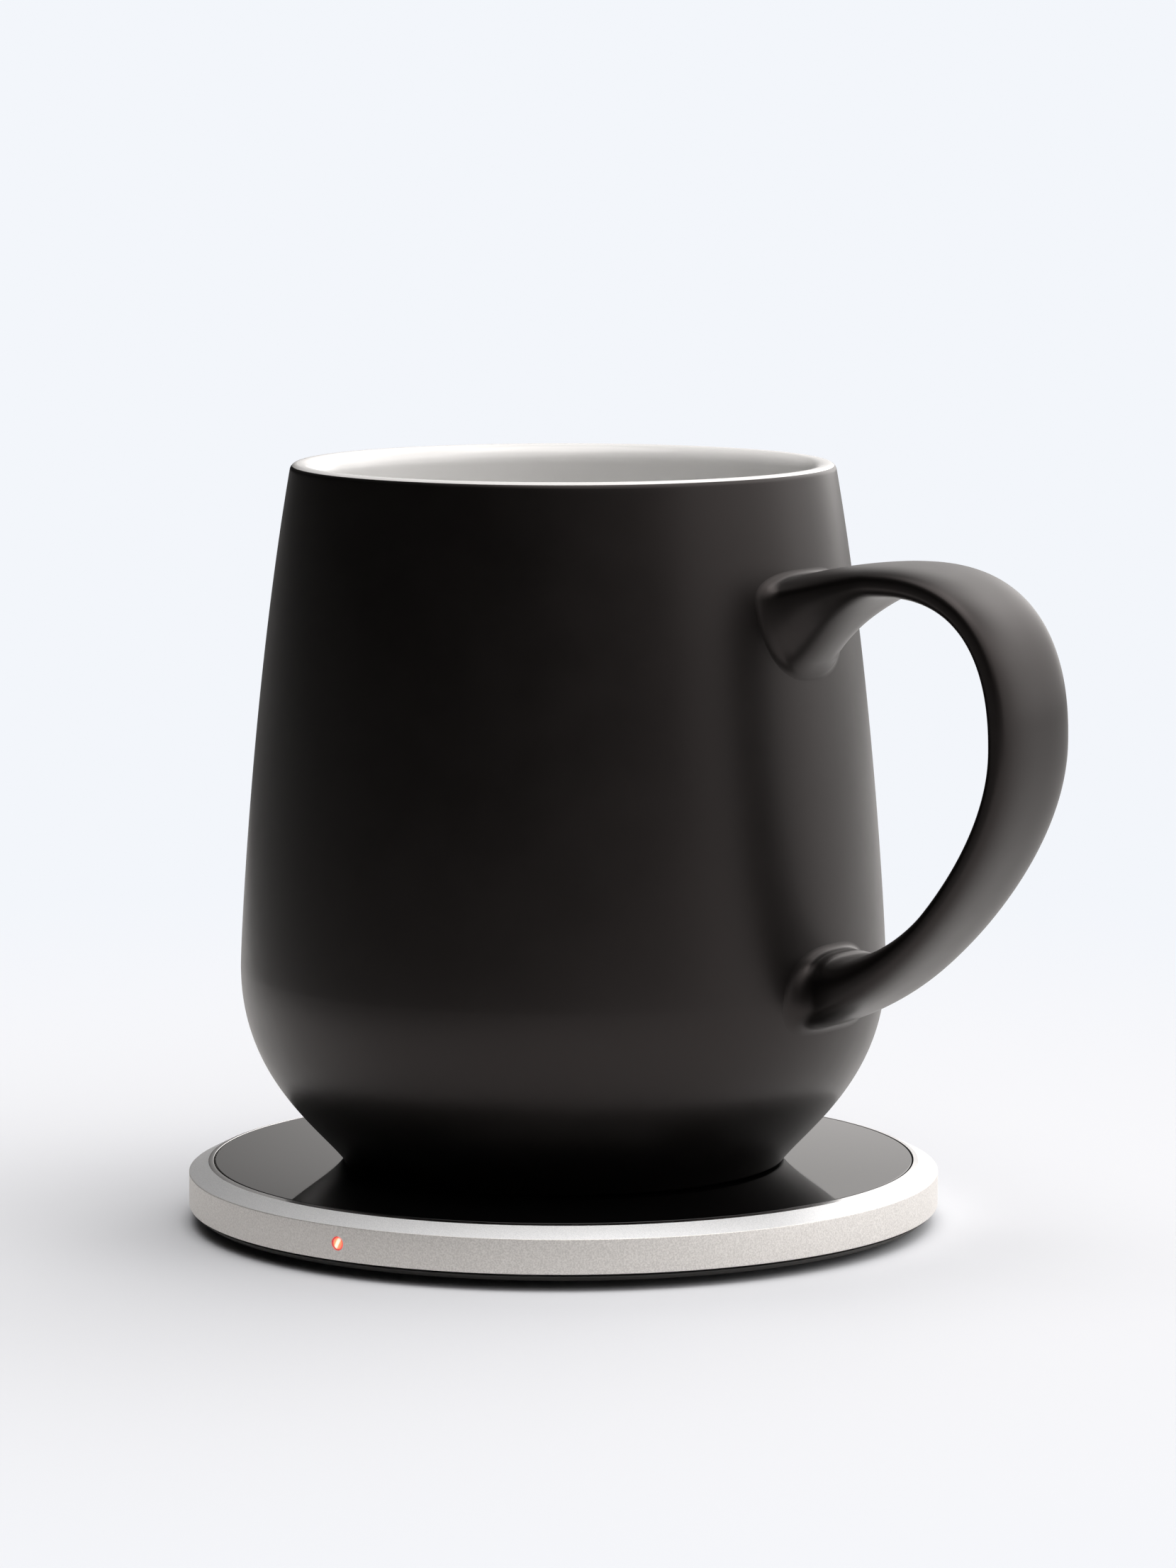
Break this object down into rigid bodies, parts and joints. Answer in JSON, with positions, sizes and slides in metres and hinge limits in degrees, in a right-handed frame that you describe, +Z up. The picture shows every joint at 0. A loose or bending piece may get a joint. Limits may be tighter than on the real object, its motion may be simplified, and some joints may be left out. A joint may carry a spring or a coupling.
{
  "type": "self heating mug",
  "caption": "Rounded ceramic mug with a slim strap handle, standing on a flat round wireless heating coaster with a glass top, an aluminium rim and a status light.",
  "frame": {"origin": "the centre of the coaster's rubber foot, on the surface that it stands on", "axes": "+Z up along the coaster's axis, +X toward the mug's handle, -Y toward the status light and +Y toward the power inlet"},
  "size_m": [0.1289, 0.104, 0.1053],
  "materials": {
    "matte_black_glaze": "satin",
    "white_glaze": "gloss",
    "satin_aluminium": "satin",
    "black_glass": "polished",
    "black_tape": "matte",
    "black_plastic": "matte",
    "frame_plastic": "matte",
    "foot_rubber": "matte",
    "copper_wire": "satin",
    "ferrite_ceramic": "matte",
    "board_laminate": "satin",
    "chip_resin": "matte",
    "capacitor_ceramic": "satin",
    "screw_steel": "satin",
    "lamp_plastic": "gloss",
    "led_resin": "gloss",
    "silicone_rubber": "matte",
    "insulation_board": "matte",
    "heater_foil": "satin"
  },
  "bodies": {
    "coaster": {"foot_pad": "foot_rubber", "bottom_cover": "black_plastic", "cover_screw_1": "screw_steel", "cover_screw_2": "screw_steel", "cover_screw_3": "screw_steel", "cover_screw_4": "screw_steel", "housing_ring": "satin_aluminium", "usb_port_shell": "screw_steel", "usb_port_tongue": "black_plastic", "status_led": "led_resin", "light_pipe": "lamp_plastic", "main_board": "board_laminate", "power_inductor": "ferrite_ceramic", "power_controller": "chip_resin", "bridge_chip_1": "chip_resin", "bridge_chip_2": "chip_resin", "resonant_capacitor_1": "capacitor_ceramic", "resonant_capacitor_2": "capacitor_ceramic", "resonant_capacitor_3": "capacitor_ceramic", "resonant_capacitor_4": "capacitor_ceramic", "coil_frame": "frame_plastic", "transmitter_ferrite": "ferrite_ceramic", "transmitter_coil": "copper_wire", "glass_temperature_sensor": "chip_resin", "glass_tape": "black_tape", "top_glass": "black_glass"},
    "mug": {"mug_shell": "matte_black_glaze", "mug_foot_cover": "black_plastic", "mug_foot_seal": "silicone_rubber", "receiver_coil": "copper_wire", "receiver_ferrite": "ferrite_ceramic", "receiver_board": "board_laminate", "rectifier_chip": "chip_resin", "heater_controller": "chip_resin", "receiver_capacitor_1": "capacitor_ceramic", "receiver_capacitor_2": "capacitor_ceramic", "insulation_disc": "insulation_board", "heating_disc": "heater_foil", "thermal_pad": "silicone_rubber", "heater_lead_1": "copper_wire", "heater_lead_2": "copper_wire", "cup_temperature_sensor": "chip_resin"}
  },
  "joints": [
    {"name": "mug_lift", "type": "slide", "parent": "coaster", "child": "mug", "axis": [0, 0, 1], "range_m": [0, 0.05]}
  ]
}
